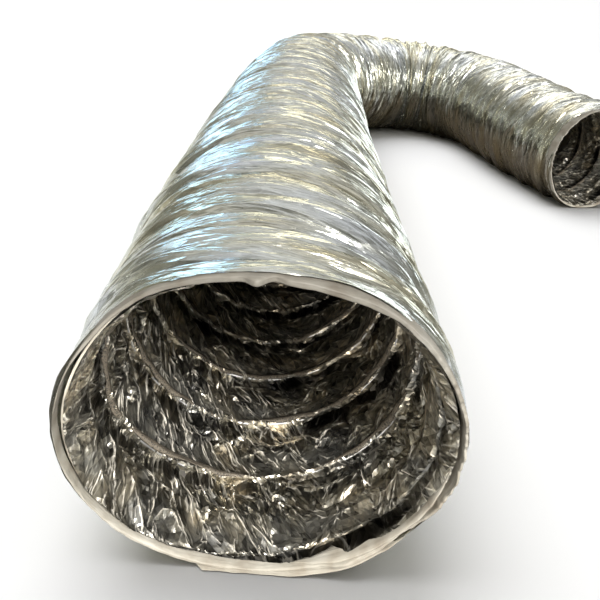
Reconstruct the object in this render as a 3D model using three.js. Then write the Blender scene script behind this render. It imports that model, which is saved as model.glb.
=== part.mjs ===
// Insulated flexible air duct, lying on a floor in a hook shape with its open mouth at the front.
// Units are millimetres, +Z is up, and the near run leads away from the mouth along +Y.
// The duct is a chain of sections. Each one has a jacket, wadding, core ply, spring wire, liner and lap strip,
// and a soft fold of jacket and wadding bridges the gap to the next section, where the duct bends or stretches.
import * as THREE from 'three';

// Route: one entry for each section, from the mouth to the far end. A positive turn bends to the right.
const SECTIONS = [
  { length: 232, turn: 1.6, steps: 3 },
  { length: 224, turn: 1.5, steps: 1 },
  { length: 208, turn: 1.6, steps: 1 },
  { length: 212, turn: 50, steps: 4 },
  { length: 56, turn: 39.5, steps: 2 },
  { length: 56, turn: 39.5, steps: 2 },
  { length: 78, turn: 38.5, steps: 2 },
  { length: 236, turn: -8, steps: 2 },
];
const GAP = 13; // straight length between two sections, which a soft fold bridges
const FACE_GAP = 0.3; // clearance between a fold and the sections beside it

// Cross-section
const SIDES = 12; // facets round the duct, one of them flat on the floor
const OUTER_RADIUS = 69.2; // half the width over the jacket on the near run
const TALL = 1.03; // the run stands a little taller than it is wide
const FAR_SCALE = 0.8; // the run beyond the bend is drawn narrower, down to this share at its end
const TAPER_START = 550; // distance from the mouth where the narrowing begins
const MOUTH_WIDEN = 1.08; // the cut mouth spreads a little wider
const MOUTH_LOWER = 0.9; // and sags a little lower than the round run behind it
const MOUTH_REACH = 150; // length over which the mouth eases into the round run

// Radii of the layers on the near run, from the bore outwards, as [inner, outer]
const STRIP_RADII = [60.3, 60.8];
const LINER_RADII = [62.1, 62.6];
const WIRE_RADIUS = 63.9;
const PLY_RADII = [65.2, 65.7];
const WADDING_RADII = [66.1, 68.2];
const JACKET_RADII = [68.6, OUTER_RADIUS];
const FOLD_RADII = [65.2, 68.2]; // the folds sit inside the jacket's line, so they stay clear of the floor

// Helices
const PITCH = 42; // one turn of the wire
const HELIX_START = 10; // the corner at which the helices meet the mouth
const WIRE_HALF = 0.8; // half the wire's thickness
const STRIP_WIDTH = 5;
const HELIX_END = 6; // the wire and strip of a section stop this far from its ends

const RIM_PROUD = 1.5; // the wadding stands proud of the films at the two cut ends

const MATERIALS = {
  jacket: { color: 0xb9b8b0, metalness: 1.0, roughness: 0.32 },
  wadding: { color: 0xd2cbb8, metalness: 0.0, roughness: 0.95 },
  core_ply: { color: 0x8d8a84, metalness: 1.0, roughness: 0.4 },
  wire: { color: 0x9a9a9c, metalness: 1.0, roughness: 0.35 },
  liner: { color: 0x5b5247, metalness: 1.0, roughness: 0.38 },
  lap_strip: { color: 0x4a4238, metalness: 0.6, roughness: 0.55 },
  fold: { color: 0xa9a8a1, metalness: 0.9, roughness: 0.4 },
};

const duct = new THREE.Group();

// ---- Route ----

// The route as pieces of arc, each with its start point, heading and distance from the mouth.
function layRoute() {
  const arcs = [];
  const pen = { x: 0, y: 0, heading: 0, distance: 0 };
  const lay = (length, turnDegrees) => {
    const arc = { ...pen, length, turn: THREE.MathUtils.degToRad(turnDegrees) };
    arcs.push(arc);
    Object.assign(pen, along(arc, length), { distance: pen.distance + length });
    return arc;
  };
  const sections = SECTIONS.map(({ length, turn }, index) => {
    if (index > 0) lay(GAP, 0);
    return lay(length, turn);
  });
  return { arcs, sections, total: pen.distance };
}

// Place and heading at a distance travelled along one arc.
function along(arc, travelled) {
  const turned = arc.turn * travelled / arc.length;
  const heading = arc.heading + turned;
  if (Math.abs(turned) < 1e-9) {
    return {
      x: arc.x + Math.sin(arc.heading) * travelled,
      y: arc.y + Math.cos(arc.heading) * travelled,
      heading,
    };
  }
  const radius = travelled / turned;
  return {
    x: arc.x + radius * (Math.cos(arc.heading) - Math.cos(heading)),
    y: arc.y + radius * (Math.sin(heading) - Math.sin(arc.heading)),
    heading,
  };
}

const route = layRoute();

function placeAt(distance) {
  const arc = route.arcs.findLast((candidate) => candidate.distance <= distance) ?? route.arcs[0];
  return along(arc, distance - arc.distance);
}

// ---- Cross-section ----

// Half width and half height over the jacket, at a distance from the mouth.
function halfSize(distance) {
  const taper = THREE.MathUtils.clamp((distance - TAPER_START) / (route.total - TAPER_START), 0, 1);
  const scale = 1 - (1 - FAR_SCALE) * taper;
  const open = THREE.MathUtils.clamp(1 - distance / MOUTH_REACH, 0, 1);
  return {
    width: OUTER_RADIUS * scale * (1 + (MOUTH_WIDEN - 1) * open),
    height: OUTER_RADIUS * TALL * scale * (1 + (MOUTH_LOWER - 1) * open),
  };
}

// The corners of the faceted section at one distance, on a layer of the given nominal radius.
function ring(distance, radius) {
  const { x, y, heading } = placeAt(distance);
  const { width, height } = halfSize(distance);
  const share = radius / OUTER_RADIUS;
  const axisHeight = height * Math.cos(Math.PI / SIDES);
  return Array.from({ length: SIDES }, (_, side) => {
    const angle = cornerAngle(side);
    const across = width * share * Math.cos(angle);
    return new THREE.Vector3(
      x + Math.cos(heading) * across,
      y - Math.sin(heading) * across,
      axisHeight + height * share * Math.sin(angle),
    );
  });
}

// Corners lie half a facet either side of straight down, so that one facet rests on the floor.
function cornerAngle(side) {
  return -Math.PI / 2 + (side + 0.5) * 2 * Math.PI / SIDES;
}

function stationsBetween(start, end, steps) {
  return Array.from({ length: steps + 1 }, (_, step) => start + (end - start) * step / steps);
}

// A corner of the faceted layer between two stations, which keeps the helices on the layer's own facets.
function cornerOnFacets(stations, distance, side, radius) {
  const last = stations.length - 2;
  const found = stations.findLastIndex((station) => station <= distance);
  const index = THREE.MathUtils.clamp(found, 0, last);
  const [from, to] = [stations[index], stations[index + 1]];
  const start = ring(from, radius)[side];
  return start.lerp(ring(to, radius)[side], (distance - from) / (to - from));
}

// ---- Geometry ----

function meshFrom(points, triangles) {
  const geometry = new THREE.BufferGeometry();
  geometry.setAttribute('position', new THREE.Float32BufferAttribute(points.flatMap((p) => p.toArray()), 3));
  geometry.setIndex(triangles);
  geometry.computeVertexNormals();
  return geometry;
}

const quad = (a, b, c, d) => [a, b, c, a, c, d];

// A closed tube wall between two nominal radii, through the given stations.
function shell(stations, [inner, outer]) {
  const points = stations.flatMap((station) => [...ring(station, outer), ...ring(station, inner)]);
  const outerAt = (station, side) => station * 2 * SIDES + side % SIDES;
  const innerAt = (station, side) => outerAt(station, side) + SIDES;
  const last = stations.length - 1;
  const triangles = [];
  for (let side = 0; side < SIDES; side++) {
    for (let station = 0; station < last; station++) {
      const next = station + 1;
      triangles.push(...quad(outerAt(station, side), outerAt(next, side),
        outerAt(next, side + 1), outerAt(station, side + 1)));
      triangles.push(...quad(innerAt(station, side), innerAt(station, side + 1),
        innerAt(next, side + 1), innerAt(next, side)));
    }
    triangles.push(...quad(outerAt(0, side), outerAt(0, side + 1), innerAt(0, side + 1), innerAt(0, side)));
    triangles.push(...quad(outerAt(last, side), innerAt(last, side),
      innerAt(last, side + 1), outerAt(last, side + 1)));
  }
  return meshFrom(points, triangles);
}

// A closed bar that winds along the duct. corners gives its four section points at one corner of the facets.
function helix(start, end, corners) {
  const advance = PITCH / SIDES;
  const first = Math.ceil(start / advance);
  const last = Math.floor(end / advance);
  const points = [];
  const triangles = [];
  for (let step = first; step <= last; step++) {
    points.push(...corners(step * advance, (step + HELIX_START) % SIDES));
  }
  const count = last - first + 1;
  for (let step = 0; step < count - 1; step++) {
    const here = step * 4;
    for (let edge = 0; edge < 4; edge++) {
      const next = (edge + 1) % 4;
      triangles.push(...quad(here + edge, here + next, here + 4 + next, here + 4 + edge));
    }
  }
  triangles.push(...quad(3, 2, 1, 0));
  const end4 = (count - 1) * 4;
  triangles.push(...quad(end4, end4 + 1, end4 + 2, end4 + 3));
  return meshFrom(points, triangles);
}

function wire(stations, start, end) {
  return helix(start, end, (distance, side) => [
    cornerOnFacets(stations, distance, side, WIRE_RADIUS + WIRE_HALF),
    cornerOnFacets(stations, distance + WIRE_HALF, side, WIRE_RADIUS),
    cornerOnFacets(stations, distance, side, WIRE_RADIUS - WIRE_HALF),
    cornerOnFacets(stations, distance - WIRE_HALF, side, WIRE_RADIUS),
  ]);
}

function lapStrip(stations, start, end) {
  const half = STRIP_WIDTH / 2;
  const [inner, outer] = STRIP_RADII;
  return helix(start, end, (distance, side) => [
    cornerOnFacets(stations, distance - half, side, outer),
    cornerOnFacets(stations, distance + half, side, outer),
    cornerOnFacets(stations, distance + half, side, inner),
    cornerOnFacets(stations, distance - half, side, inner),
  ]);
}

// ---- Assembly ----

function add(name, kind, geometry) {
  const mesh = new THREE.Mesh(geometry, new THREE.MeshStandardMaterial(MATERIALS[kind]));
  mesh.name = name;
  duct.add(mesh);
}

function addSection(arc, index) {
  const number = index + 1;
  const start = arc.distance;
  const end = start + arc.length;
  const filmStart = index === 0 ? start + RIM_PROUD : start;
  const filmEnd = index === SECTIONS.length - 1 ? end - RIM_PROUD : end;
  const inner = stationsBetween(start, end, SECTIONS[index].steps);
  const films = [filmStart, ...inner.slice(1, -1), filmEnd];
  add(`liner_${number}`, 'liner', shell(films, LINER_RADII));
  add(`core_ply_${number}`, 'core_ply', shell(films, PLY_RADII));
  add(`wadding_${number}`, 'wadding', shell(inner, WADDING_RADII));
  add(`jacket_${number}`, 'jacket', shell(films, JACKET_RADII));
  add(`wire_${number}`, 'wire', wire(inner, start + HELIX_END, end - HELIX_END));
  add(`lap_strip_${number}`, 'lap_strip', lapStrip(inner, start + HELIX_END, end - HELIX_END));
}

function addFold(arc, index) {
  const start = arc.distance + arc.length + FACE_GAP;
  const end = start + GAP - 2 * FACE_GAP;
  add(`fold_${index + 1}`, 'fold', shell([start, end], FOLD_RADII));
}

route.sections.forEach(addSection);
route.sections.slice(0, -1).forEach(addFold);

// The origin is the middle of the whole duct's footprint, on the floor.
const box = new THREE.Box3().setFromObject(duct);
const middle = box.getCenter(new THREE.Vector3());
duct.children.forEach((mesh) => mesh.position.set(-middle.x, -middle.y, -box.min.z));

export default duct;
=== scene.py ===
"""Insulated flexible air duct: crumpled films, wadding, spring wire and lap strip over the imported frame.

The duct is described by s, the distance from the mouth along its centre line, and an angle round it.
Lengths are in millimetres here and become metres where a mesh is made.
"""
import math

import bpy
import numpy as np
from mathutils import Matrix, Vector


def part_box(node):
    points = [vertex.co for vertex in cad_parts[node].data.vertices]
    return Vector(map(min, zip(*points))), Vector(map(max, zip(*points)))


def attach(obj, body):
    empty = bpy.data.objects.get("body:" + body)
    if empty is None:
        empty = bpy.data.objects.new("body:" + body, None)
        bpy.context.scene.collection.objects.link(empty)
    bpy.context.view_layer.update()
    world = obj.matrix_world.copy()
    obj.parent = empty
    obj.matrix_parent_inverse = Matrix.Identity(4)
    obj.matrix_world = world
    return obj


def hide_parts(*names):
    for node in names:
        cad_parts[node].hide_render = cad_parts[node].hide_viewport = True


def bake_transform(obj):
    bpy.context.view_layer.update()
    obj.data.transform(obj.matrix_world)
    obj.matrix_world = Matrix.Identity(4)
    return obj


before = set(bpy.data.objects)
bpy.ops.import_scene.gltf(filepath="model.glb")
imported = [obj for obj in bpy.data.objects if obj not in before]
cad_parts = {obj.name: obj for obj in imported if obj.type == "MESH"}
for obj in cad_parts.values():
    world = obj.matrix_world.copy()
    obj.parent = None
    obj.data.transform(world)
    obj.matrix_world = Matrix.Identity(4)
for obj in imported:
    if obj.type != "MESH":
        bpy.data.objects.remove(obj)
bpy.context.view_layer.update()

# ---- Driving dimensions, the same as the frame's ----

SECTIONS = [(232, 1.6), (224, 1.5), (208, 1.6), (212, 50), (56, 39.5), (56, 39.5), (78, 38.5), (236, -8)]
GAP = 13.0
SIDES = 12
OUTER = 69.2
TALL = 1.03
FAR_SCALE = 0.8
TAPER_START = 550.0
MOUTH_WIDEN = 1.08
MOUTH_LOWER = 0.9
MOUTH_REACH = 150.0
WADDING_OUTER = 68.2
PITCH = 42.0
HELIX_LEAD = 1.5 / 12  # share of a turn by which the helix is late at the bottom of the mouth
MM = 0.001

# ---- Route ----


def lay_route():
    """The route as arcs (start distance, x, y, heading, length, turn), and each section's start and end."""
    arcs, spans = [], []
    x = y = heading = distance = 0.0
    for index, (length, turn) in enumerate(SECTIONS):
        steps = [(length, math.radians(turn), True)]
        if index:
            steps.insert(0, (GAP, 0.0, False))
        for step, angle, rigid in steps:
            arcs.append((distance, x, y, heading, step, angle))
            if rigid:
                spans.append((distance, distance + step))
            if abs(angle) < 1e-9:
                x += math.sin(heading) * step
                y += math.cos(heading) * step
            else:
                radius = step / angle
                x += radius * (math.cos(heading) - math.cos(heading + angle))
                y += radius * (math.sin(heading + angle) - math.sin(heading))
            heading += angle
            distance += step
    return np.array(arcs), spans, distance


ARCS, SPANS, TOTAL = lay_route()


def place_at(s):
    """Centre line x, y and heading at the distances s."""
    index = np.clip(np.searchsorted(ARCS[:, 0], s, side="right") - 1, 0, len(ARCS) - 1)
    start, x, y, heading, length, angle = np.moveaxis(ARCS[index], -1, 0)
    travelled = s - start
    turned = angle * travelled / length
    straight = np.abs(angle) < 1e-9
    radius = length / np.where(straight, 1.0, angle)
    bent_x = x + radius * (np.cos(heading) - np.cos(heading + turned))
    bent_y = y + radius * (np.sin(heading + turned) - np.sin(heading))
    out_x = np.where(straight, x + np.sin(heading) * travelled, bent_x)
    out_y = np.where(straight, y + np.cos(heading) * travelled, bent_y)
    return out_x, out_y, heading + turned


def half_size(s):
    """Half width and half height over the jacket at the distances s."""
    taper = np.clip((s - TAPER_START) / (TOTAL - TAPER_START), 0, 1)
    scale = 1 - (1 - FAR_SCALE) * taper
    opened = np.clip(1 - s / MOUTH_REACH, 0, 1)
    width = OUTER * scale * (1 + (MOUTH_WIDEN - 1) * opened)
    height = OUTER * TALL * scale * (1 + (MOUTH_LOWER - 1) * opened)
    return width, height


def frame_shift():
    """Where the mouth's centre lies in the frame, read from the wadding at the mouth, in millimetres."""
    low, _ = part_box("wadding_1")
    width = half_size(np.array(0.0))[0] * WADDING_OUTER / OUTER * math.cos(math.pi / SIDES)
    return low[0] / MM + float(width), low[1] / MM


SHIFT_X, SHIFT_Y = frame_shift()
FLOOR_BLUR = 1.6  # how softly the underside flattens where it meets the floor
CUT_TOP = 4.0  # how far back the mouth is cut at its top
CUT_DIPS = [(133, 22, 6.5), (52, 20, 2.5)]  # (degrees, width, depth)
CUT_FADE = 80.0  # how far in the cut's slant is felt


def bump_at(angle, degrees, width):
    """1 at one place round the rim, falling to 0 over about width degrees each side."""
    away = (np.degrees(angle) - degrees + 180) % 360 - 180
    return np.exp(-(away / width) ** 2)


def mouth_cut(angle):
    """How far back the mouth is cut, in millimetres. It slants, and dips on both sides of the top."""
    cut = CUT_TOP * np.clip(np.sin(angle), 0, 1)
    for degrees, width, depth in CUT_DIPS:
        cut = cut + depth * bump_at(angle, degrees, width)
    return cut


def to_space(s, angle, radius):
    """Points in metres on the layer of nominal radius `radius`, at s and angle (0 right, pi/2 up)."""
    s = s + mouth_cut(angle) * np.clip(1 - s / CUT_FADE, 0, 1.1) ** 2
    x, y, heading = place_at(s)
    width, height = half_size(s)
    share = radius / OUTER
    across = width * share * np.cos(angle)
    axis = height * math.cos(math.pi / SIDES)
    z = axis + height * share * np.sin(angle)
    z = 0.5 * (z + np.sqrt(z * z + FLOOR_BLUR ** 2))
    px = x + np.cos(heading) * across + SHIFT_X
    py = y - np.sin(heading) * across + SHIFT_Y
    return np.stack([px, py, z], -1) * MM


# ---- Camera ----

CAMERA_AT = (-7.3, -204.7, 218.2)  # from the mouth's centre line on the floor
CAMERA_YAW, CAMERA_PITCH, CAMERA_ROLL = 4.0, 25.7, 7.02
CAMERA_SENSOR = 36.0
CAMERA_LENS = 42.168


def make_camera():
    yaw, pitch, roll = (math.radians(v) for v in (CAMERA_YAW, CAMERA_PITCH, CAMERA_ROLL))
    ahead = Vector((math.sin(yaw) * math.cos(pitch), math.cos(yaw) * math.cos(pitch), -math.sin(pitch)))
    level = Vector((math.cos(yaw), -math.sin(yaw), 0))
    above = level.cross(ahead)
    right = math.cos(roll) * level + math.sin(roll) * above
    up = math.cos(roll) * above - math.sin(roll) * level
    data = bpy.data.cameras.new("camera")
    data.sensor_width = CAMERA_SENSOR
    data.lens = CAMERA_LENS
    data.clip_start = 0.01
    camera = bpy.data.objects.new("camera", data)
    x, y, z = CAMERA_AT
    at = Vector((x + SHIFT_X, y + SHIFT_Y, z)) * MM
    camera.matrix_world = Matrix.Translation(at) @ Matrix((right, up, -ahead)).transposed().to_4x4()
    bpy.context.scene.collection.objects.link(camera)
    bpy.context.scene.camera = camera


make_camera()

# ---- Noise: random lattices over (u, v), where v wraps round after `columns` cells ----


ROUND = 2 * math.pi * OUTER
NOISE_ROWS = 997  # cells before the noise repeats along the duct
NOISE_START = 40  # keeps the cells' numbers positive near the mouth
WANDER = 0.14  # how far the facets stray from a straight lattice, in cells


def table(seed, columns):
    return np.random.default_rng(seed).uniform(-1, 1, (NOISE_ROWS, columns))


def corners(u, v, values):
    """The four lattice values round each point, and where the point lies in its cell."""
    rows, columns = values.shape
    i = np.floor(u).astype(int)
    j = np.floor(v).astype(int)
    low, high = i % rows, (i + 1) % rows
    left, right = j % columns, (j + 1) % columns
    return values[low, left], values[high, left], values[low, right], values[high, right], u - i, v - j


def smooth(u, v, columns, seed):
    """Soft rolling noise, -1 to 1."""
    a, b, c, d, x, y = corners(u, v, table(seed, columns))
    x, y = x * x * (3 - 2 * x), y * y * (3 - 2 * y)
    return (a * (1 - x) + b * x) * (1 - y) + (c * (1 - x) + d * x) * y


def facets(u, v, columns, seed):
    """Crumpled foil, -1 to 1: flat triangles that meet in sharp creases, seldom at middling heights."""
    bent_u = u + WANDER * smooth(u, v, columns, seed + 1)
    bent_v = v + WANDER * smooth(u, v, columns, seed + 2)
    heights = table(seed, columns)
    heights = np.sign(heights) * np.sqrt(np.abs(heights))
    a, b, c, d, x, y = corners(bent_u, bent_v, heights)
    _, _, _, flip, _, _ = corners(bent_u, bent_v, table(seed + 3, columns))
    rising = np.where(x >= y, a + x * (b - a) + y * (d - b), a + y * (c - a) + x * (d - c))
    falling = np.where(x + y <= 1, a + x * (b - a) + y * (c - a),
                       d + (1 - x) * (c - d) + (1 - y) * (b - d))
    return np.where(flip > 0, rising, falling)


def crumple(s, angle, along, around, seed, lean=0.0):
    """Facets of about `along` by `around` millimetres. lean is how far they slant round per unit along."""
    columns = max(3, round(ROUND / around))
    v = (angle / (2 * math.pi)) * columns + lean * s / around
    return facets(s / along + NOISE_START, v + columns, columns, seed)


def rolling(s, angle, along, around, seed):
    """Soft waves of about `along` by `around` millimetres."""
    columns = max(3, round(ROUND / around))
    return smooth(s / along + NOISE_START, (angle / (2 * math.pi)) * columns + columns, columns, seed)


def turn_phase(s, angle):
    """0 to 1 between one turn of the wire and the next. The helix follows the frame's wire."""
    return (s / PITCH - (angle + math.pi / 2) / (2 * math.pi) - HELIX_LEAD) % 1.0


# ---- The films' shapes, as nominal radii ----

RIDGE = 61.3  # the liner where it lies on the wire
JACKET_BASE = 69.2
LAMINATE = 3.3  # the least room between the liner and the jacket
LIP_INNER = 65.3
LIP_OUTER = 68.6
LINER_AT_LIP = LIP_INNER + 0.7
WIRE_CENTRE = 62.6
WIRE_THICK = 1.6
FILM_APART = 0.2  # between the core ply and the wadding
WADDING_BELOW = 2.4  # from the wadding up to the jacket
BEND_FROM = 620.0
BEND_EASE = 130.0
BEND_SINK = 0.25
BEND_LIFT = 0.8
SWELL = 0.9  # how far the jacket stands out over each turn of the wire
LUMPS = 1.1
FOLD_DEPTH = 1.9
FOLD_EASE = 60.0  # length over which the folds begin behind the mouth
LOOSE_REACH = 15.0  # how far from the cut ends the liner hangs free of the wire
FLARE_REACH = 6.0  # how far from the cut ends it opens out to the lip
# Where the liner's painted fold shade lies before each turn, as a phase, and its width.
PAINTED_SHADE_PHASE, PAINTED_SHADE_WIDTH = 0.87, 0.13
PANEL_PHASE, PANEL_WIDTH = 0.20, 0.17
DEEPEST = 6.0  # the furthest that the liner's creases stand into the bore
TUCK = 2.4  # how far the liner's steep flank leans over towards the wire
TUCK_FROM = 0.80  # where that flank begins, as a phase


def bend_share(s):
    """0 on the straight near run, 1 where the duct bends."""
    return np.clip((s - BEND_FROM) / BEND_EASE, 0, 1)


def jacket_fold(s, angle):
    """The fold between two turns of the wire: its depth, the distance from its bottom, and its half width."""
    phase = turn_phase(s, angle)
    depth = np.clip(0.35 + 1.3 * rolling(s, angle, 55, 60, 11), 0, 1.5)
    bottom = 0.5 + 0.10 * rolling(s, angle, 90, 40, 12)
    distance = (phase - bottom) * PITCH
    return depth, distance, np.where(distance > 0, 2.2, 5.5)


def jacket_swell(s, angle):
    """The jacket without its fine creases: soft lumps, and a fold between each two turns of the wire."""
    phase = turn_phase(s, angle)
    near_mouth = np.clip(s / FOLD_EASE, 0, 1)
    depth, distance, steep = jacket_fold(s, angle)
    fold = depth * np.exp(-(distance / steep) ** 2)
    swell = SWELL * np.cos(2 * math.pi * phase)
    lumps = LUMPS * rolling(s, angle, 85, 95, 13)
    return JACKET_BASE + swell + (lumps - FOLD_DEPTH * fold) * near_mouth


LINER_SLOPE = ([0, 0.05, 0.30, 0.62, 0.80, 0.92, 1.0], [0, 0.14, 0.52, 0.86, 1.0, 0.80, 0])


def liner_slack(s, angle):
    """0 where the liner lies on the wire, 1 where it reaches the core ply. The cut ends lie between them."""
    between = np.interp(turn_phase(s, angle), *LINER_SLOPE)
    loose = np.exp(-(np.minimum(s, TOTAL - s) / LOOSE_REACH) ** 2)
    return between + (0.6 - between) * loose


def liner_limit(s, angle):
    """As far out as the liner reaches: on the wire, or pressed against the core ply."""
    return RIDGE + (jacket_swell(s, angle) - LAMINATE - RIDGE) * liner_slack(s, angle)


def mouth_share(s):
    """1 at a cut end, where the liner opens out to the lip, and 0 further in."""
    near, far = np.clip(s, 0, None), np.clip(TOTAL - s, 0, None)
    return np.exp(-near / FLARE_REACH) + np.exp(-far / FLARE_REACH)


def mouth_flare(s):
    return mouth_share(s) * (LINER_AT_LIP - RIDGE)


def liner_laid(s, angle, inward):
    """The liner slopes outwards from each turn of the wire, then comes back steeply to the next one."""
    between = liner_slack(s, angle)
    inward = np.where(inward < 0, np.maximum(0.2 * inward, -0.5), DEEPEST * np.tanh(inward / DEEPEST))
    share = mouth_share(s)
    opened = liner_limit(s, angle) * (1 - share) + LINER_AT_LIP * share
    return opened - inward * (0.32 + 0.68 * between) * (1 - 0.7 * share)


def liner_radius(s, angle):
    """The liner deep inside the duct."""
    gathers = crumple(s, angle, 8, 20, 47, lean=-4.0)
    plates = crumple(s, angle, 11, 11, 35, lean=0.3)
    return liner_laid(s, angle, 1.9 + 2.6 * gathers + 1.4 * plates)


def creased_liner_radius(s, angle, fold, detail):
    fussy = np.clip(0.9 + 1.1 * rolling(s, angle, 25, 25, 49), 0.3, 1.9)
    return liner_laid(s, angle, 2.3 + fold + fussy * detail)


def creased_jacket_radius(s, angle, fold, detail):
    """In the bend the film gathers, so its creases stand out much further and sink a little deeper."""
    share = bend_share(s)
    lift = fold + detail
    return jacket_swell(s, angle) + (1 + BEND_SINK * share) * lift + BEND_LIFT * share * np.maximum(lift, 0)


def tuck(s, angle):
    """s moved on the steep flank before each turn, so that the liner drops sharply beside the wire."""
    share = np.clip((turn_phase(s, angle) - TUCK_FROM) / (1 - TUCK_FROM), 0, 1)
    return s + TUCK * np.sin(math.pi * share) ** 2


def liner_painted_shade(s, angle):
    """Painted shade: how far the liner's colour is darkened in the deep fold on the near side of each turn of
    the wire.
    """
    phase = turn_phase(s, angle)
    depth = 0.80 + 0.5 * rolling(s, angle, 30, 25, 55)
    return depth * np.exp(-np.abs((phase - PAINTED_SHADE_PHASE) / PAINTED_SHADE_WIDTH) ** 4)


def liner_panel(s, angle):
    """The dull panel on the far side of each turn, where the film is drawn tight over the wire."""
    phase = turn_phase(s, angle)
    share = np.clip(0.6 + 0.8 * rolling(s, angle, 60, 40, 57), 0, 1)
    return share * np.exp(-((phase - PANEL_PHASE) / PANEL_WIDTH) ** 2)


def jacket_painted_shade(s, angle):
    """Painted shade at the bottom of each fold between two turns: how far the jacket's colour is darkened
    there.
    """
    depth, distance, steep = jacket_fold(s, angle)
    return 0.6 * depth * np.exp(-(distance / (0.8 * steep)) ** 2) * np.clip(s / FOLD_EASE, 0, 1)


def no_painted_shade(s, angle):
    return np.zeros_like(s)


def ply_radius(s, angle):
    phase = turn_phase(s, angle)
    over_wire = 1.5 * np.exp(-(np.minimum(phase, 1 - phase) * PITCH / 4.0) ** 2)
    return liner_limit(s, angle) + np.maximum(mouth_flare(s) - 2.0, 0) + 0.8 + over_wire


def wadding_inner(s, angle):
    return ply_radius(s, angle) + FILM_APART


def wadding_outer(s, angle):
    return np.maximum(jacket_swell(s, angle) - WADDING_BELOW, wadding_inner(s, angle) + FILM_APART)


# ---- Meshes ----


def volume_of(points, faces):
    first, second, third = (points[faces[:, index]] for index in (0, 1, 2))
    total = np.einsum("ij,ij->i", first, np.cross(second, third)).sum()
    if faces.shape[1] == 4:
        total += np.einsum("ij,ij->i", first, np.cross(third, points[faces[:, 3]])).sum()
    return total


def write_attribute(mesh, name, kind, domain, values):
    attribute = mesh.attributes.new(name, kind, domain)
    key = "value" if kind == "FLOAT" else "vector"
    attribute.data.foreach_set(key, values.astype(np.float32).ravel())


def new_object(name, points, faces, material, solid=False, smooth_faces=True, normals=None, coordinate=None):
    """An object from arrays of points and of equal-sided faces."""
    if solid and volume_of(points, faces) < 0:
        faces = faces[:, ::-1]
    mesh = bpy.data.meshes.new(name)
    sides = faces.shape[1]
    mesh.vertices.add(len(points))
    mesh.vertices.foreach_set("co", points.astype(np.float32).ravel())
    mesh.loops.add(faces.size)
    mesh.loops.foreach_set("vertex_index", faces.astype(np.int32).ravel())
    mesh.polygons.add(len(faces))
    mesh.polygons.foreach_set("loop_start", np.arange(0, faces.size, sides, dtype=np.int32))
    mesh.update(calc_edges=True)
    mesh.polygons.foreach_set("use_smooth", np.full(len(faces), smooth_faces))
    if coordinate is not None:
        write_attribute(mesh, "duct", "FLOAT_VECTOR", "POINT", coordinate)
    if normals is not None:
        mesh.normals_split_custom_set_from_vertices(normals)
    mesh.materials.append(material)
    made = bpy.data.objects.new(name, mesh)
    bpy.context.scene.collection.objects.link(made)
    return made


def grid_faces(rows, columns, wrap=True, flip=False):
    row = np.arange(rows - 1)[:, None]
    column = np.arange(columns if wrap else columns - 1)[None, :]
    after = (column + 1) % columns
    a = row * columns + column
    b = row * columns + after
    c = (row + 1) * columns + after
    d = (row + 1) * columns + column
    order = [a, b, c, d] if flip else [a, d, c, b]
    return np.stack([np.broadcast_to(part, a.shape) for part in order], -1).reshape(-1, 4)


def unrolled(s, angle):
    """Seamless material coordinates in metres: along the duct, and two that go round it."""
    return np.stack([s, OUTER * np.cos(angle), OUTER * np.sin(angle)], -1).reshape(-1, 3) * MM


def surface_normals(points, inward):
    along = np.gradient(points, axis=0)
    padded = np.concatenate([points[:, -1:], points, points[:, :1]], axis=1)
    around = (padded[:, 2:] - padded[:, :-2]) / 2
    normal = np.cross(around, along)
    normal /= np.maximum(np.linalg.norm(normal, axis=-1, keepdims=True), 1e-12)
    return normal if inward else -normal


def crests(radius, row_pitch, inward):
    """The change of slope where the film creases towards the viewer. radius has a spare row at each end."""
    column_pitch = ROUND / radius.shape[1]
    around = np.roll(radius, 1, axis=1) + np.roll(radius, -1, axis=1) - 2 * radius
    along = radius[2:] + radius[:-2] - 2 * radius[1:-1]
    bend = along / row_pitch + around[1:-1] / column_pitch
    return bend if inward else -bend


def mark_film(made, wear_and_highlight, painted_shade, dull, painted_tone):
    """What the film's material reads: three marks at each point (crest whitening, part wear and part painted
    highlight; painted shade; dullness), and each facet's own painted tone.
    """
    marks = np.stack([wear_and_highlight, np.clip(painted_shade, 0, 1), dull], -1)
    write_attribute(made.data, "marks", "FLOAT_VECTOR", "POINT", marks)
    write_attribute(made.data, "facet", "FLOAT", "FACE", painted_tone)


def film(name, start, end, step, columns, radius, painted_shade_at, material, inward=False):
    """One film over a stretch of the duct. Its normals agree with the neighbouring stretch's at the join."""
    rows = max(2, round((end - start) / step)) + 1
    pitch = (end - start) / (rows - 1)
    s = start + pitch * np.arange(-1, rows + 1)
    angle = 2 * math.pi * np.arange(columns) / columns
    s, angle = np.meshgrid(s, angle, indexing="ij")
    reach = radius(s, angle)
    points = to_space(tuck(s, angle) if inward else s, angle, reach)
    normals = surface_normals(points, inward)[1:-1].reshape(-1, 3)
    points = points[1:-1].reshape(-1, 3)
    faces = grid_faces(rows, columns, flip=inward)
    made = new_object(name, points, faces, material, normals=normals,
                      coordinate=unrolled(s[1:-1], angle[1:-1]))
    # How far the crests whiten, partly with wear and partly as painted highlight.
    wear_and_highlight = np.clip(crests(reach, pitch, inward), 0, 1)
    # Painted shade: how far the colour is darkened in the folds.
    painted_shade = painted_shade_at(s[1:-1], angle[1:-1])
    mark_film(made, wear_and_highlight, painted_shade, np.zeros_like(painted_shade), np.full(len(faces), 0.5))
    return made


# Creased films: a slanting lattice of triangles, each split again and again, as crumpled foil creases.
# A creased point is (s, cosine, sine, fold, detail): the fold is the largest crease's height and the detail
# is all that the smaller ones add.

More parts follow.
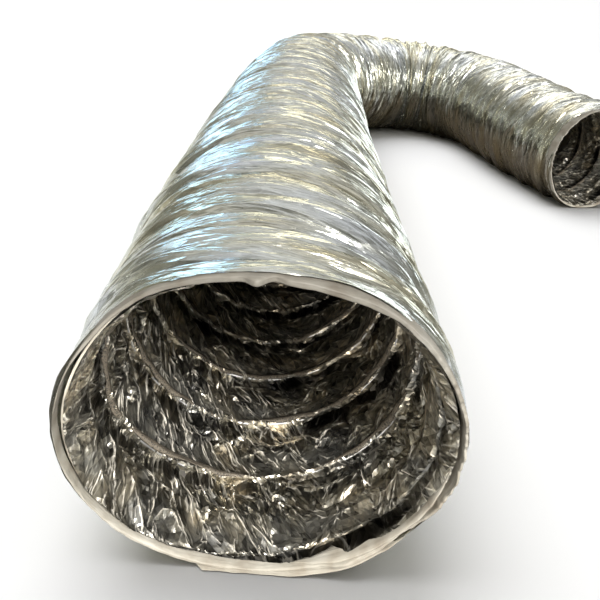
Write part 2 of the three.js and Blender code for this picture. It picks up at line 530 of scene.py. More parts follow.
DRIFT_FROM = -70  # degrees; the rows of the lattice are laid from here, once round
LINER_DRIFT = ([0, 130, 220, 265, 295, 345, 360], [0, 12, 22, 36, 12, -42, -54])
JACKET_DRIFT = ([0, 360], [0, 42])
JITTER = 0.25  # how far a lattice point strays, in cells
# how strongly creases turned towards the viewer whiten: partly wear, partly painted highlight
CREASE_WEAR_AND_HIGHLIGHT = 0.5
# how strongly the creases that turn away are darkened with painted shade
CREASE_PAINTED_SHADE = 0.26


def lattice(low, high, along, around, drift, height, seed):
    """The largest folds, between low and high: a ridge and a valley by turns, more or less in order."""
    draw = np.random.default_rng(seed)
    columns = round(ROUND / around)
    turns = round(drift[1][-1] / along)
    first = math.floor((low - max(drift[1])) / along) - abs(turns) - 2
    last = math.ceil((high - min(drift[1])) / along) + abs(turns) + 2
    rows = last - first
    row, column = np.meshgrid(np.arange(first, last), np.arange(columns), indexing="ij")
    degrees = (column + draw.uniform(-JITTER, JITTER, row.shape)) * 360 / columns
    offset = np.interp(degrees % 360, *drift) + along * turns * np.floor(degrees / 360)
    s = (row + draw.uniform(-JITTER, JITTER, row.shape)) * along + offset
    angle = np.radians(degrees + DRIFT_FROM)
    chance = draw.uniform(-1, 1, row.shape)
    chance = np.sign(chance) * np.sqrt(np.abs(chance))
    order = np.clip(0.5 + 0.8 * rolling(s, angle, 40, 60, seed + 1), 0, 1)
    ordered = np.where(row % 2 == 0, 1.0, -1.0) * (0.6 + 0.4 * np.abs(chance))
    fold = height * (order * ordered + (1 - order) * chance)
    points = np.stack([s, np.cos(angle), np.sin(angle), fold, np.zeros_like(fold)], -1).reshape(-1, 5)
    i, j = np.meshgrid(np.arange(abs(turns), rows - abs(turns) - 1), np.arange(columns), indexing="ij")
    wraps = j == columns - 1
    beside = np.where(wraps, (i + turns) * columns, i * columns + j + 1)
    a, b = i * columns + j, beside
    c, d = beside + columns, a + columns
    flip = draw.uniform(size=i.shape) > 0.5
    one = np.stack([a, d, np.where(flip, b, c)], -1)
    two = np.stack([np.where(flip, d, a), c, b], -1)
    faces = np.concatenate([one.reshape(-1, 3), two.reshape(-1, 3)])
    middle = points[faces, 0].mean(1)
    return points, faces[(middle > low) & (middle < high)]


def crease(points, faces, height, seed):
    """Each triangle becomes four. The new points lie near the middle of the old edges, and off them."""
    draw = np.random.default_rng(seed)
    ends = np.sort(faces[:, [0, 1, 1, 2, 2, 0]].reshape(-1, 2), axis=1)
    edges, which = np.unique(ends[:, 0] * len(points) + ends[:, 1], return_inverse=True)
    share = draw.uniform(0.38, 0.62, (len(edges), 1))
    middle = points[edges // len(points)] * share + points[edges % len(points)] * (1 - share)
    middle[:, 1:3] /= np.linalg.norm(middle[:, 1:3], axis=1, keepdims=True)
    off = draw.uniform(-1, 1, len(edges))
    middle[:, 4] += height * off * np.abs(off)
    ab, bc, ca = which.reshape(-1, 3).T + len(points)
    a, b, c = faces.T
    parts = [(a, ab, ca), (ab, b, bc), (ca, bc, c), (ab, bc, ca)]
    faces = np.stack([np.stack(part, -1) for part in parts], 1).reshape(-1, 3)
    return np.concatenate([points, middle]), faces


def crease_marks(s, angle, height, faces):
    """How sharply the film creases at each point, towards the viewer and away."""
    here = faces
    there = np.roll(faces, -1, axis=1)
    dx = s[there] - s[here]
    turn = angle[there] - angle[here]
    dy = OUTER * ((turn + math.pi) % (2 * math.pi) - math.pi)
    dz = height[there] - height[here]
    area = dx[:, 0] * dy[:, 1] - dx[:, 1] * dy[:, 0]
    area = np.where(np.abs(area) < 1e-4, 1e9, area)
    slope_x = (dz[:, 0] * dy[:, 1] - dz[:, 1] * dy[:, 0]) / area
    slope_y = (dx[:, 0] * dz[:, 1] - dx[:, 1] * dz[:, 0]) / area
    length = np.maximum(np.hypot(dx, dy), 1e-6)
    outward = (slope_x[:, None] * dy - slope_y[:, None] * dx) / length
    key = np.minimum(here, there) * len(s) + np.maximum(here, there)
    edges, which, count = np.unique(key.ravel(), return_inverse=True, return_counts=True)
    bend = np.where(count == 2, np.bincount(which.ravel(), outward.ravel()), 0)
    marks = np.zeros((2, len(s)))
    for end in (edges // len(s), edges % len(s)):
        np.maximum.at(marks[0], end, bend)
        np.maximum.at(marks[1], end, -bend)
    return marks


def facet_tones(count):
    """Painted shading, 0 to 1 for each triangle, in place of the light that facets tilted different ways
    catch. The sixteen from one older triangle are alike, and each four more so.
    """
    draw = np.random.default_rng(count)
    index = np.arange(count)
    large = draw.uniform(size=count // 16 + 1)[index // 16]
    small = draw.uniform(size=count // 4 + 1)[index // 4]
    return 0.6 * large + 0.4 * small


def creased_film(name, points, faces, radius, painted_shade_at, material, inward=False):
    """One stretch of creased film, with flat facets."""
    used, faces = np.unique(faces, return_inverse=True)
    faces = faces.reshape(-1, 3)
    s, cosine, sine, fold, detail = points[used].T
    s = np.clip(s, 0, TOTAL)
    sound = np.ptp(s[faces], axis=1) > 1e-6
    painted_tone = facet_tones(len(faces))[sound]
    faces = faces[sound]
    angle = np.arctan2(sine, cosine)
    reach = radius(s, angle, fold, detail)
    marks = crease_marks(s, angle, fold + detail, faces)
    # Painted shade: colour darkened in the deep folds and along the creases that turn away.
    painted_shade = np.maximum(painted_shade_at(s, angle), CREASE_PAINTED_SHADE * marks[1])
    where = to_space(tuck(s, angle) if inward else s, angle, reach)
    if inward:
        faces = faces[:, ::-1]
    made = new_object(name, where, faces, material, smooth_faces=False, coordinate=unrolled(s, angle))
    dull = liner_panel(s, angle) if inward else np.zeros_like(s)
    mark_film(made, CREASE_WEAR_AND_HIGHLIGHT * marks[0], painted_shade, dull, painted_tone)
    return made


def ring_tube(name, loop, material, closed=True):
    """A tube swept round the duct. loop is (stations, section points, 3) in s, angle, radius."""
    rows, columns, _ = loop.shape
    points = to_space(loop[..., 0], loop[..., 1], loop[..., 2]).reshape(-1, 3)
    coordinate = unrolled(loop[..., 0], loop[..., 1])
    if closed:
        faces = grid_faces(rows + 1, columns) % (rows * columns)
        return new_object(name, points, faces, material, solid=True, coordinate=coordinate)
    faces = grid_faces(rows, columns)
    first, last = loop[0].mean(0), loop[-1].mean(0)
    ends = np.array([first, last])
    points = np.concatenate([points, to_space(ends[:, 0], ends[:, 1], ends[:, 2])])
    coordinate = np.concatenate([coordinate, unrolled(ends[:, 0], ends[:, 1])])
    around = np.arange(columns)
    after = (around + 1) % columns
    base = (rows - 1) * columns
    centre = np.full(columns, rows * columns)
    caps = [np.stack([centre, after, around], -1), np.stack([centre + 1, base + around, base + after], -1)]
    triangles = np.concatenate([faces[:, [0, 1, 2]], faces[:, [0, 2, 3]], *caps])
    return new_object(name, points, triangles, material, solid=True, coordinate=coordinate)


def shell(name, start, end, step, columns, inner, outer, material):
    """A closed wall between two layers, such as the wadding."""
    rows = max(2, round((end - start) / step)) + 1
    s, angle = np.meshgrid(np.linspace(start, end, rows), 2 * math.pi * np.arange(columns) / columns,
                           indexing="ij")
    outside = to_space(s, angle, outer(s, angle)).reshape(-1, 3)
    inside = to_space(s, angle, inner(s, angle)).reshape(-1, 3)
    count = rows * columns
    walls = [grid_faces(rows, columns), grid_faces(rows, columns, flip=True) + count]
    around = np.arange(columns)
    after = (around + 1) % columns
    far = (rows - 1) * columns
    front = np.stack([around, count + around, count + after, after], -1)
    back = np.stack([far + around, far + after, count + far + after, count + far + around], -1)
    faces = np.concatenate([*walls, front, back])
    coordinate = np.concatenate([unrolled(s, angle), unrolled(s, angle)])
    points = np.concatenate([outside, inside])
    return new_object(name, points, faces, material, solid=True, coordinate=coordinate)


# ---- Materials ----


def feed(tree, node, inputs):
    """Each input is either a value or another node's output."""
    for socket, value in inputs.items():
        if isinstance(value, bpy.types.NodeSocket):
            tree.links.new(value, node.inputs[socket])
        else:
            node.inputs[socket].default_value = value


def add(tree, kind, inputs, **settings):
    """A new shader node's outputs."""
    node = tree.nodes.new(f"ShaderNode{kind}")
    for name, value in settings.items():
        setattr(node, name, value)
    feed(tree, node, inputs)
    return node.outputs


def new_material(name):
    material = bpy.data.materials.new(name)
    material.use_nodes = True
    tree = material.node_tree
    return material, tree, tree.nodes["Principled BSDF"]


def attribute(tree, name):
    return add(tree, "Attribute", {}, attribute_name=name)


def duct_coordinate(tree, scale=(1, 1, 1)):
    """The unrolled coordinate, stretched by scale (per metre) along and round the duct."""
    return add(tree, "Mapping", {"Vector": attribute(tree, "duct")["Vector"], "Scale": scale})["Vector"]


def noise(tree, vector, scale, detail, distortion=0.0):
    inputs = {"Vector": vector, "Scale": scale, "Detail": detail, "Distortion": distortion}
    return add(tree, "TexNoise", inputs)["Fac"]


def ramp(tree, source, stops):
    node = tree.nodes.new("ShaderNodeValToRGB")
    elements = node.color_ramp.elements
    while len(elements) < len(stops):
        elements.new(0.5)
    for element, (position, colour) in zip(elements, stops):
        element.position = position
        element.color = (*colour, 1)
    tree.links.new(source, node.inputs["Fac"])
    return node.outputs["Color"]


def remap(tree, source, to_range, from_range=(0, 1)):
    """source carried from one range to another, and held inside it."""
    inputs = {"Value": source, "From Min": from_range[0], "From Max": from_range[1],
              "To Min": to_range[0], "To Max": to_range[1]}
    return add(tree, "MapRange", inputs)["Result"]


def product(tree, first, second):
    return add(tree, "Math", {0: first, 1: second}, operation="MULTIPLY")["Value"]


def scaled(tree, vector, factor):
    return add(tree, "VectorMath", {0: vector, "Scale": factor}, operation="SCALE")["Vector"]


def difference(tree, first, second):
    return add(tree, "VectorMath", {0: first, 1: second}, operation="SUBTRACT")["Vector"]


def split_axes(tree, vector):
    return add(tree, "SeparateXYZ", {"Vector": vector})


def bump(tree, height, strength, distance, before=None):
    inputs = {"Height": height, "Strength": strength, "Distance": distance}
    if before is not None:
        inputs["Normal"] = before
    return add(tree, "Bump", inputs)["Normal"]


def shard_bump(tree, scale, slope, before=None):
    """Fine flat shards, each tilted its own way. scale is shards per metre along and round the duct."""
    vector = duct_coordinate(tree, scale)
    cells = add(tree, "TexVoronoi", {"Vector": vector, "Scale": 1.0})
    inside = difference(tree, vector, cells["Position"])
    tilt = difference(tree, cells["Color"], (0.5, 0.5, 0.5))
    height = add(tree, "VectorMath", {0: inside, 1: tilt}, operation="DOT_PRODUCT")["Value"]
    return bump(tree, height, 1.0, slope / max(scale), before)


def worn_and_painted_light_colour(tree, colour, worn_and_highlit, wear_and_highlight_range, painted_shade_share, facet_range):
    """Film whitens along its sharp creases, partly with wear and partly as painted highlight, and darkens in
    its deep folds with painted shade. Each facet has its own painted tone, shading that stands in for the
    light its tilt catches.

    Returns the colour, how far the film is worn and highlit, and how far it is dulled.
    """
    marks = split_axes(tree, attribute(tree, "marks")["Vector"])
    wear_and_highlight = remap(tree, marks["X"], (0, 1), wear_and_highlight_range)
    mixed = add(tree, "Mix", {"Factor": wear_and_highlight, "A": colour, "B": (*worn_and_highlit, 1)}, data_type="RGBA")["Result"]
    shade = remap(tree, marks["Y"], (1, 1 - painted_shade_share))
    painted_tone = remap(tree, attribute(tree, "facet")["Fac"], facet_range)
    return scaled(tree, mixed, product(tree, shade, painted_tone)), wear_and_highlight, marks["Z"]


def jacket_material():
    """Silver metallised film with fine creases that run round the duct."""
    material, tree, shader = new_material("jacket_film")
    streaks = noise(tree, duct_coordinate(tree, (420, 42, 42)), 1.0, 4.0, 0.6)
    patches = noise(tree, duct_coordinate(tree, (60, 14, 14)), 1.0, 2.0)
    # The film's silver, with olive-gold and bluish patches that are painted reflections of the room.
    silver_and_painted_reflections = ramp(tree, patches,
                  [(0.30, (0.60, 0.565, 0.43)), (0.50, (0.63, 0.64, 0.575)), (0.72, (0.65, 0.68, 0.70))])
    colour, _, _ = worn_and_painted_light_colour(tree, silver_and_painted_reflections, worn_and_highlit=(0.86, 0.86, 0.84), wear_and_highlight_range=(0.35, 0.8),
                               painted_shade_share=0.75, facet_range=(0.84, 1.12))
    fine = bump(tree, streaks, 0.35, 0.0008)
    feed(tree, shader, {"Base Color": colour, "Metallic": 1.0,
                        "Roughness": remap(tree, streaks, (0.18, 0.34)),
                        "Normal": shard_bump(tree, (330, 60, 60), 0.5, fine)})
    return material


def liner_material():
    """Dark bronze metallised film, crumpled into small plates."""
    material, tree, shader = new_material("liner_film")
    patches = noise(tree, duct_coordinate(tree), 45, 3.0)
    # Bronze film whose patches run from grey to gold: partly its own colour, partly painted tints of its
    # reflections.
    bronze_and_painted_reflections = ramp(tree, patches,
                  [(0.28, (0.36, 0.36, 0.35)), (0.44, (0.50, 0.485, 0.43)), (0.58, (0.62, 0.57, 0.46)),
                   (0.72, (0.80, 0.70, 0.54))])
    colour, worn_and_highlit, dull = worn_and_painted_light_colour(tree, bronze_and_painted_reflections, worn_and_highlit=(0.92, 0.87, 0.76), wear_and_highlight_range=(0.60, 1.1),
                                     painted_shade_share=0.94, facet_range=(0.15, 1.62))
    metal = product(tree, remap(tree, worn_and_highlit, (1, 0.45)), remap(tree, dull, (1, 0.88)))
    feed(tree, shader, {"Base Color": colour, "Metallic": metal,
                        "Roughness": remap(tree, patches, (0.23, 0.37)),
                        "Normal": shard_bump(tree, (260, 360, 360), 0.22)})
    return material


def wadding_material():
    """Cream fibre blanket, slightly dirty in random patches."""
    material, tree, shader = new_material("wadding")
    patches = noise(tree, duct_coordinate(tree), 60, 4.0)
    cream = ramp(tree, patches,
                 [(0.30, (0.44, 0.39, 0.31)), (0.55, (0.60, 0.56, 0.47)), (0.75, (0.69, 0.66, 0.58))])
    fibres = noise(tree, duct_coordinate(tree, (900, 260, 260)), 1.0, 5.0, 1.0)
    feed(tree, shader, {"Base Color": cream, "Roughness": 0.92, "Sheen Weight": 0.25,
                        "Normal": bump(tree, fibres, 0.5, 0.0008)})
    return material


def strip_material():
    """Narrow reinforcing strip with a netted weave."""
    material, tree, shader = new_material("lap_strip")
    cells = {"Vector": duct_coordinate(tree), "Scale": 1100}
    net = add(tree, "TexVoronoi", cells, feature="DISTANCE_TO_EDGE")["Distance"]
    brown = ramp(tree, net,
                 [(0.0, (0.17, 0.145, 0.11)), (0.12, (0.085, 0.072, 0.055)), (0.3, (0.03, 0.027, 0.023))])
    feed(tree, shader, {"Base Color": brown, "Metallic": 0.25, "Roughness": 0.60,
                        "Normal": bump(tree, net, 0.5, 0.0005)})
    return material


def wire_material():
    """Drawn spring steel."""
    material, tree, shader = new_material("spring_wire")
    drawn = noise(tree, duct_coordinate(tree, (2500, 90, 90)), 1.0, 3.0)
    steel = ramp(tree, drawn, [(0.3, (0.38, 0.38, 0.39)), (0.7, (0.60, 0.60, 0.61))])
    feed(tree, shader, {"Base Color": steel, "Metallic": 1.0, "Roughness": remap(tree, drawn, (0.25, 0.45))})
    return material


def ply_material():
    """The core's plain outer film."""
    material, tree, shader = new_material("core_film")
    patches = noise(tree, duct_coordinate(tree), 50, 3.0)
    grey = ramp(tree, patches, [(0.3, (0.40, 0.385, 0.36)), (0.7, (0.62, 0.61, 0.58))])
    feed(tree, shader, {"Base Color": grey, "Metallic": 1.0, "Roughness": remap(tree, patches, (0.28, 0.42))})
    return material


LIP_HEIGHTS = (0.015, 0.115)  # metres above the floor
LIP_PAINTED_TONES = (1.18, 0.50)  # painted shading: the lip's colour is darker at its top, where more light falls, and lighter at its bottom


def lip_material():
    """Cream film rolled over the fibre, with faint dirt in random patches and painted shading that darkens
    its top and lightens its bottom.
    """
    material, tree, shader = new_material("rim_lip")
    patches = noise(tree, duct_coordinate(tree), 90, 4.0)
    cream = ramp(tree, patches,
                 [(0.30, (0.19, 0.165, 0.13)), (0.48, (0.27, 0.25, 0.21)), (0.72, (0.34, 0.325, 0.285))])
    position = split_axes(tree, add(tree, "TexCoord", {})["Object"])
    # Painted shading: the colour darkens towards the lip's top, where more light falls.
    painted_tone = remap(tree, position["Z"], LIP_PAINTED_TONES, LIP_HEIGHTS)
    folds = noise(tree, duct_coordinate(tree, (700, 90, 90)), 1.0, 4.0, 0.4)
    feed(tree, shader, {"Base Color": scaled(tree, cream, painted_tone), "Roughness": 0.62,
                        "Normal": bump(tree, folds, 0.4, 0.0008)})
    return material


LIP_MATERIAL = lip_material()
JACKET = jacket_material()
LINER = liner_material()
WADDING = wadding_material()
STRIP = strip_material()
WIRE = wire_material()
PLY = ply_material()

# ---- Stretches: the skin is cut at the middle of each section, so that each stretch spans the joint between ----

MIDDLES = [(start + end) / 2 for start, end in SPANS]
CUTS = [0.0, *MIDDLES, TOTAL]
STRETCHES = list(enumerate(zip(CUTS[:-1], CUTS[1:])))


def place(piece, stretch, layer):
    """A stretch replaces its layer in the sections it reaches, whose parts it hides, and the jacket the fold
    between them.

    It rides on one section at the two ends of the duct, and everywhere else its placement is baked into its
    mesh.
    """
    count = len(SECTIONS)
    inner = 1 <= stretch < count
    stood_for = [f"{layer}_{number}" for number in (stretch, stretch + 1) if 1 <= number <= count]
    if layer == "jacket" and inner:
        stood_for.append(f"fold_{stretch}")
    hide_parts(*stood_for)
    if inner:
        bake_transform(piece)
    else:
        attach(piece, "section_1" if stretch == 0 else f"section_{count}")


JACKET_CELL = (7, 43)  # the largest creases, along and round
JACKET_FOLD = 1.4
JACKET_CREASES = (1.0, 0.5, 0.22, 0.08)  # the height of each smaller crease
JACKET_SEED = 14


def creased(points, faces, heights, seed):
    for level, height in enumerate(heights):
        points, faces = crease(points, faces, height, seed + level)
    return points, faces


def make_jackets():
    """The jacket creases in long thin slivers that run round the duct with the wire."""
    points, faces = lattice(0, TOTAL, *JACKET_CELL, JACKET_DRIFT, JACKET_FOLD, JACKET_SEED)
    points, faces = creased(points, faces, JACKET_CREASES, JACKET_SEED + 1)
    grown = 4 ** len(JACKET_CREASES)  # faces that came from one cell's triangle, which stay together
    middle = np.repeat(points[faces.reshape(-1, grown * 3), 0].mean(1), grown)
    jackets = []
    for stretch, (start, end) in STRETCHES:
        first, last = stretch == 0, stretch == len(SECTIONS)
        chosen = faces[((middle >= start) | first) & ((middle < end) | last)]
        jacket = creased_film(f"jacket_film_{stretch}", points, chosen, creased_jacket_radius,
                              jacket_painted_shade, JACKET)
        place(jacket, stretch, "jacket")
        jackets.append(jacket)
    return jackets


LINER_CELLS = {0: 8, 1: 11, 8: 8}  # cells' size round the duct, where the liner is seen from a mouth
LINER_ROW = 9
LINER_FOLD = 2.9
LINER_CREASES = (2.2, 1.25, 0.58)
LINER_SEED = 31
DEEP_LINER = (3.0, 240)  # step along and columns round, where the liner can't be seen
HIDDEN = (4.0, 96)
PLY_FROM = 3.0  # the core ply's and the wadding's ends, from the cut ends of the duct


def make_liner(stretch, start, end):
    """Near a mouth the liner folds into slanting pleats and crumples into small plates."""
    name = f"liner_film_{stretch}"
    if stretch not in LINER_CELLS:
        return film(name, start, end, *DEEP_LINER, liner_radius, liner_painted_shade, LINER, True)
    points, faces = lattice(start - LINER_ROW, end + LINER_ROW, LINER_ROW, LINER_CELLS[stretch], LINER_DRIFT,
                            LINER_FOLD, LINER_SEED)
    points, faces = creased(points, faces, LINER_CREASES, LINER_SEED + 1)
    return creased_film(name, points, faces, creased_liner_radius, liner_painted_shade, LINER, True)


def make_films():
    for stretch, (start, end) in STRETCHES:
        place(make_liner(stretch, start, end), stretch, "liner")
        start, end = max(start, PLY_FROM), min(end, TOTAL - PLY_FROM)
        ply = film(f"core_film_{stretch}", start, end, *HIDDEN, ply_radius, no_painted_shade, PLY)
        place(ply, stretch, "core_ply")
        blanket = shell(f"wadding_{stretch}_blanket", start, end, *HIDDEN, wadding_inner, wadding_outer,
                        WADDING)
        place(blanket, stretch, "wadding")


# ---- Wire and lap strip, on the frame's helix ----


def helix_run(start, end, spacing):
    """s and angle along the wire, for every place where its s lies between start and end."""
    s = np.arange(start, end, spacing / ROUND * PITCH)
    angle = (s / PITCH - HELIX_LEAD) * 2 * math.pi - math.pi / 2
    return s, angle


WIRE_FROM = 20.0  # the wire's ends, from the cut ends of the duct
WIRE_STEP = 4.0
WIRE_SIDES = 8


def make_wires():
    for stretch, (start, end) in STRETCHES:
        s, angle = helix_run(max(start, WIRE_FROM), min(end, TOTAL - WIRE_FROM), WIRE_STEP)
        turn = 2 * math.pi * np.arange(WIRE_SIDES) / WIRE_SIDES
        across = 0.5 * WIRE_THICK * np.cos(turn)
        outward = 0.5 * WIRE_THICK * np.sin(turn)
        loop = np.stack([s[:, None] + across, np.broadcast_to(angle[:, None], (len(s), WIRE_SIDES)),
                         WIRE_CENTRE + mouth_flare(s)[:, None] + outward], -1)
        wire = ring_tube(f"spring_wire_{stretch}", loop, WIRE, closed=False)
        place(wire, stretch, "wire")


STRIP_HALF = 1.9
STRIP_BEHIND = 1.0  # the strip lies a little past the wire
STRIP_THICK = 0.3
STRIP_STEP = 1.8
STRIP_EASE = 18.0  # length over which the strip tapers at the cut ends
STRIP_PROUD = 1.1  # inside the liner, where the strip isn't sunk


def make_strips():
    """The strip lies just inside the liner and sinks into it in places, with a slightly ragged width."""
    for stretch, (start, end) in STRETCHES:
        s, angle = helix_run(max(start, WIRE_FROM), min(end, TOTAL - WIRE_FROM), STRIP_STEP)
        half = STRIP_HALF + 0.45 * rolling(s, angle, 9, 12, 51)
        half = half * np.clip((np.minimum(s, TOTAL - s) - WIRE_FROM) / STRIP_EASE, 0.1, 1)
        spread = np.linspace(-1, 1, 5)
        wander = 0.8 * rolling(s, angle, 5, 7, 59)
        there = (s + STRIP_BEHIND + wander)[:, None] + half[:, None] * spread
        around = np.broadcast_to(angle[:, None], there.shape)
        sunk = 1.6 * rolling(s, angle, 14, 30, 53) + 0.5 * rolling(s, angle, 5, 6, 58) + 0.6
        share = mouth_share(there)
        liner = liner_limit(there, around) * (1 - share) + LINER_AT_LIP * share
        outer = liner - STRIP_PROUD + sunk[:, None]
        loop = np.concatenate([np.stack([there, around, outer], -1),
                               np.stack([there, around, outer - STRIP_THICK], -1)[:, ::-1]], axis=1)
        strip = ring_tube(f"lap_strip_{stretch}_ribbon", loop, STRIP, closed=False)
        place(strip, stretch, "lap_strip")


# ---- Cut ends ----


LIP_LENGTH = 6.0  # half the lip's length along the duct
LIP_STATIONS = 1080
LIP_POINTS = 30


def lip(name, front, sign, section, seed, notches=()):
    """The rolled cream edge where wadding and films end. sign is 1 at the mouth and -1 at the far end.

    notches lists (degrees, width, millimetres): places where the edge is pushed in or stands out.
    """
    angle = 2 * math.pi * np.arange(LIP_STATIONS) / LIP_STATIONS
    level = np.full_like(angle, 7.0 * seed)
    wave = 1.3 * rolling(level, angle, 30, 34, seed) + 0.6 * rolling(level, angle, 12, 11, seed + 1) \
        + 0.25 * crumple(level, angle, 9, 4, seed + 5)
    ragged = bump_at(angle, 8, 42)
    wave = wave + 1.1 * ragged * crumple(level, angle, 9, 2.4, seed + 8)
    for degrees, width, depth in notches:
        wave = wave + depth * bump_at(angle, degrees, width)
    side = 0.5 + 0.5 * np.cos(2 * (angle - math.pi / 2))
    inner = LIP_INNER + 0.5 * rolling(level, angle, 20, 13, seed + 2) + 1.9 * (1 - side) \
        + 1.1 * bump_at(angle, 205, 48) \
        + 0.3 * crumple(level, angle, 9, 6, seed + 6)
    outer = LIP_OUTER + 0.35 * rolling(level, angle, 20, 21, seed + 3)
    around = np.linspace(0, 2 * math.pi, LIP_POINTS, endpoint=False)
    reach = np.sign(np.cos(around)) * np.abs(np.cos(around)) ** 0.55
    height = np.sign(np.sin(around)) * np.abs(np.sin(around)) ** 0.7
    groove = 0.5 * np.exp(-((height - 0.15) / 0.22) ** 2) * (reach > 0.3)
    middle, half = (inner + outer) / 2, (outer - inner) / 2
    length = LIP_LENGTH * (1 - 0.5 * bump_at(angle, 195, 55)[:, None])
    places = np.broadcast_to(angle[:, None], (LIP_STATIONS, LIP_POINTS))
    levels = np.broadcast_to(7.0 * around, places.shape)
    fluff = 0.16 * crumple(levels, places, 3.0, 3.5, seed + 7)
    radius = middle[:, None] + (half[:, None] + fluff) * height * (0.80 + 0.20 * reach)
    s = front + sign * (length + wave[:, None] - (length - groove) * reach - 2.4 + fluff)
    rim = ring_tube(name, np.stack([s, places, radius], -1), LIP_MATERIAL)
    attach(rim, section)


def edge_flap(name, start, end, begin, radius, front, length, seed):
    """A loose ply of the cut edge over part of the rim, from start to end degrees.

    begin says how abruptly it starts; it always tapers away at its end.
    """
    angle = np.radians(np.linspace(start, end, 8 * round(abs(end - start))))
    level = np.full_like(angle, 5.0 * seed)
    fade = np.clip((angle - angle[0]) * begin, 0.05, 1) * np.clip((angle[-1] - angle) * 3.2, 0.05, 1)
    wave = 0.9 * rolling(level, angle, 20, 17, seed) + 0.35 * crumple(level, angle, 9, 5, seed + 1)
    out = 0.5 * rolling(level, angle, 20, 12, seed + 2)
    across = np.array([0, 0.02, 0.3, 0.6, 1.0, 1.0, 0.6, 0.3, 0.02])
    lift = np.array([0, 0.5, 0.6, 0.6, 0.5, -0.5, -0.6, -0.6, -0.5])
    s = front + 3 * (1 - fade[:, None]) + wave[:, None] + across * (length * fade)[:, None]
    r = radius + (0.9 * lift + out[:, None] * (1 - across)) * fade[:, None]
    loop = np.stack([s, np.broadcast_to(angle[:, None], s.shape), np.broadcast_to(r, s.shape)], -1)
    flap = ring_tube(name, loop, LIP_MATERIAL, closed=False)
    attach(flap, "section_1")


MOUTH_NOTCHES = [(96, 2.2, -3.0), (91, 2.5, 1.6), (48, 3.0, -1.8), (322, 7, 3.0), (300, 5, -2.0)]


def make_ends():
    lip("mouth_lip", 0.0, 1, "section_1", 61, MOUTH_NOTCHES)
    edge_flap("mouth_outer_flap", 254, 322, begin=30, radius=69.6, front=-3.6, length=12, seed=81)
    edge_flap("mouth_inner_flap", 283, 356, begin=4, radius=65.4, front=-2.2, length=9, seed=85)
    lip("far_lip", TOTAL, -1, f"section_{len(SECTIONS)}", 71)


# ---- Stage and light ----


FLOOR_HALF = 90.0  # metres
FLOOR_BELOW = 0.0004
HOOK_CENTRE = (290, 700)  # the middle of the painted shadow on the floor inside the hook, from the mouth's centre line, in millimetres


def by_ray(tree, kind, chosen, otherwise, output):
    """One shader for rays of a kind, and another for the rest."""
    ray = add(tree, "LightPath", {})[kind]
    mixed = add(tree, "MixShader", {"Fac": ray, 1: otherwise, 2: chosen})["Shader"]
    tree.links.new(mixed, tree.nodes[output].inputs["Surface"])


def make_stage():
    """A white floor. In reflections only, a painted shadow darkens it inside the hook, standing in for the
    duct's shade on the floor there.
    """
    material, tree, shader = new_material("studio_floor")
    centre = ((HOOK_CENTRE[0] + SHIFT_X) * MM, (HOOK_CENTRE[1] + SHIFT_Y) * MM, 0)
    offset = difference(tree, add(tree, "TexCoord", {})["Object"], centre)
    away = add(tree, "VectorMath", {0: offset}, operation="LENGTH")["Value"]
    # Painted shadow, seen only in reflections: dark near the middle of the hook, white further out.
    shade = ramp(tree, away,
                 [(0.10, (0.12, 0.095, 0.07)), (0.22, (0.24, 0.21, 0.17)), (0.36, (0.95, 0.95, 0.95))])
    matt = {"Roughness": 0.9, "Specular IOR Level": 0.1}
    feed(tree, shader, {"Base Color": (0.86, 0.86, 0.865, 1), **matt})
    shaded = add(tree, "BsdfPrincipled", {"Base Color": shade, **matt})["BSDF"]
    by_ray(tree, "Is Glossy Ray", shaded, shader.outputs["BSDF"], "Material Output")
    points = np.array([(-1, -1, 0), (1, -1, 0), (1, 1, 0), (-1, 1, 0)]) * FLOOR_HALF
    points[:, 2] -= FLOOR_BELOW
    floor = new_object("studio_floor", points, np.array([[0, 1, 2, 3]]), material, smooth_faces=False)
    return floor


def linked_to(name, pieces, state):
    """A light-linking group. Its light reaches only these pieces (INCLUDE), or all but these (EXCLUDE)."""
    group = bpy.data.collections.new(name)
    for piece in pieces:
        group.objects.link(piece)
    for member in group.collection_objects:
        member.light_linking.link_state = state
    return group


def soft_light(name, at, target, size, power, colour, receivers=None):
    """A soft rectangular light. It reaches everything, unless a light-linking group is given."""
    data = bpy.data.lights.new(name, "AREA")
    data.shape = "RECTANGLE"
    data.size, data.size_y = size
    data.energy = power
    data.color = colour
    light = bpy.data.objects.new(name, data)
    light.location = at
    light.rotation_euler = (target - at).to_track_quat("-Z", "Y").to_euler()
    light.visible_camera = False
    light.light_linking.receiver_collection = receivers
    bpy.context.scene.collection.objects.link(light)


NEAR_RUN = 4  # stretches of jacket before the bend
SUN_POWER = 2.35
SUN_SPREAD = 55  # degrees
SUN_SIDE = (-0.30, 0.26, 0.92)
DARK_END = 0.38  # brightness of the room's front end, as a share of its back
ROOM_POWER = 1.7


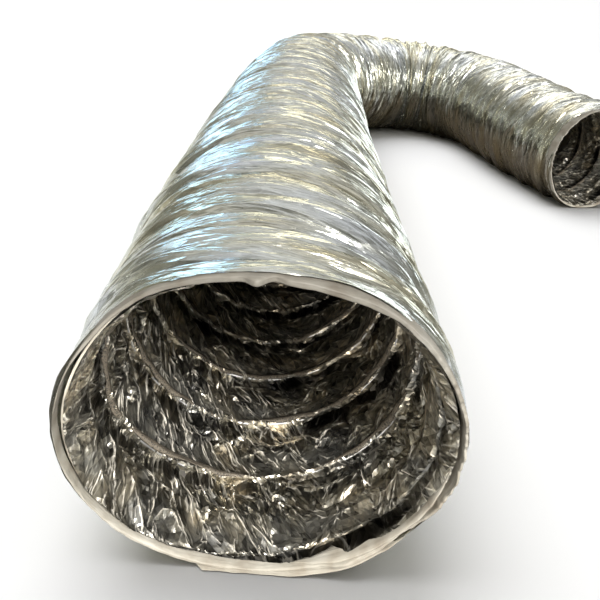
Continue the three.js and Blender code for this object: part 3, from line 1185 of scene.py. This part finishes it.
def make_lights(floor, jackets):
    """The window and walls shine on the jacket, the front lights into the mouth, and the sun on the floor."""
    near_run = linked_to("near_run", jackets[:NEAR_RUN], "INCLUDE")
    far_run = linked_to("far_run", jackets[NEAR_RUN:], "INCLUDE")
    all_jackets = linked_to("jackets", jackets, "INCLUDE")
    inside = linked_to("inside", [floor, *jackets], "EXCLUDE")
    near = Vector((SHIFT_X, SHIFT_Y + 250, 60)) * MM
    mouth = Vector((SHIFT_X, SHIFT_Y, 60)) * MM
    bend = near + Vector((0.3, 0.6, 0))
    front = mouth + Vector((0.55, -1.2, 1.2))
    soft_light("cool_window", near + Vector((-0.86, 1.6, 0.80)), near, (0.8, 0.6), 8, (0.42, 0.70, 1.0),
               near_run)
    soft_light("warm_wall", near + Vector((0.25, 2.4, 1.1)), near, (1.2, 0.5), 8, (1.0, 0.93, 0.72))
    soft_light("right_wall", near + Vector((1.2, 1.5, 0.35)), near, (1.4, 0.6), 9, (0.90, 0.97, 1.0),
               near_run)
    soft_light("far_high", bend + Vector((0.0, 0.35, 1.3)), bend, (1.3, 0.9), 7, (1.0, 0.98, 0.95), far_run)
    soft_light("front_fill", front, mouth, (0.6, 0.6), 32, (1.0, 0.98, 0.92), all_jackets)
    soft_light("front_high", front, mouth, (0.6, 0.6), 76, (1.0, 0.98, 0.94), inside)
    soft_light("front_low", mouth + Vector((-0.5, -1.7, 0.55)), mouth, (0.5, 0.5), 16, (1.0, 0.93, 0.82),
               inside)
    sun = bpy.data.lights.new("floor_sun", "SUN")
    sun.energy = SUN_POWER
    sun.angle = math.radians(SUN_SPREAD)
    high = bpy.data.objects.new("floor_sun", sun)
    high.rotation_euler = Vector(SUN_SIDE).to_track_quat("Z", "Y").to_euler()
    high.light_linking.receiver_collection = linked_to("floor_only", [floor], "INCLUDE")
    bpy.context.scene.collection.objects.link(high)


def make_world():
    """A studio room: bright ceiling, pale skirting, darker walls with soft irregular patches."""
    world = bpy.data.worlds.new("studio")
    bpy.context.scene.world = world
    world.use_nodes = True
    tree = world.node_tree
    direction = add(tree, "TexCoord", {})["Generated"]
    axes = split_axes(tree, direction)
    colour = ramp(tree, axes["Z"],
                  [(0.0, (0.56, 0.56, 0.56)), (0.06, (0.48, 0.475, 0.43)), (0.16, (0.33, 0.32, 0.26)),
                   (0.34, (0.15, 0.145, 0.115)), (0.52, (0.22, 0.215, 0.18)), (0.72, (0.42, 0.42, 0.41)),
                   (1.0, (0.53, 0.53, 0.55))])
    patchy = remap(tree, noise(tree, direction, 3.2, 2.0, 0.5), (0.45, 1.5), (0.35, 0.65))
    behind = remap(tree, axes["Y"], (DARK_END, 1), (-0.9, 0.2))
    room = tree.nodes["Background"]
    feed(tree, room, {"Color": scaled(tree, colour, product(tree, patchy, behind)), "Strength": ROOM_POWER})
    backdrop = add(tree, "Background", {"Color": (0.95, 0.95, 0.95, 1)})["Background"]
    by_ray(tree, "Is Camera Ray", backdrop, room.outputs["Background"], "World Output")


# ---- Build ----

JACKETS = make_jackets()
make_films()
make_wires()
make_strips()
make_ends()
make_lights(make_stage(), JACKETS)
make_world()
bpy.context.scene.view_settings.view_transform = "Standard"
